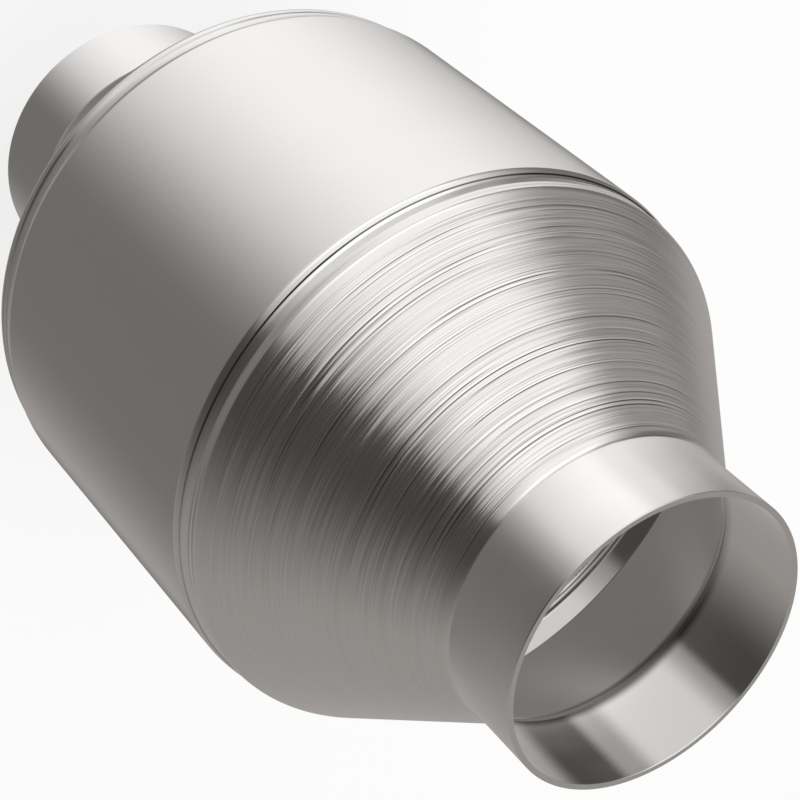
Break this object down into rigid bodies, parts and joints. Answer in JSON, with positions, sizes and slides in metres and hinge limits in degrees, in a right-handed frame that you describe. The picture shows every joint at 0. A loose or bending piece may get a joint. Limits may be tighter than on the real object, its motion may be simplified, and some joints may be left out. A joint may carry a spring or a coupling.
{
  "type": "catalytic converter",
  "caption": "Round exhaust catalytic converter: a spun metal barrel round a ceramic honeycomb, coned down at each end to a pipe neck. It cleans the gas that flows through it.",
  "frame": {"origin": "centre of the inlet neck's rim, on the surface that the converter stands on", "axes": "+Z along the gas path, from the inlet neck up to the outlet neck; X and Y lie across the round body"},
  "size_m": [0.127, 0.127, 0.2203],
  "materials": {
    "spun_stainless": "satin, with fine spinning lines round the cones",
    "coated_ceramic": "matt, porous",
    "fibre_mat": "matt felt",
    "knitted_wire": "fine wire, pressed"
  },
  "bodies": {
    "root": {"shell": "spun_stainless", "honeycomb": "coated_ceramic", "support_mat": "fibre_mat", "inlet_seal": "knitted_wire", "outlet_seal": "knitted_wire"}
  },
  "joints": []
}
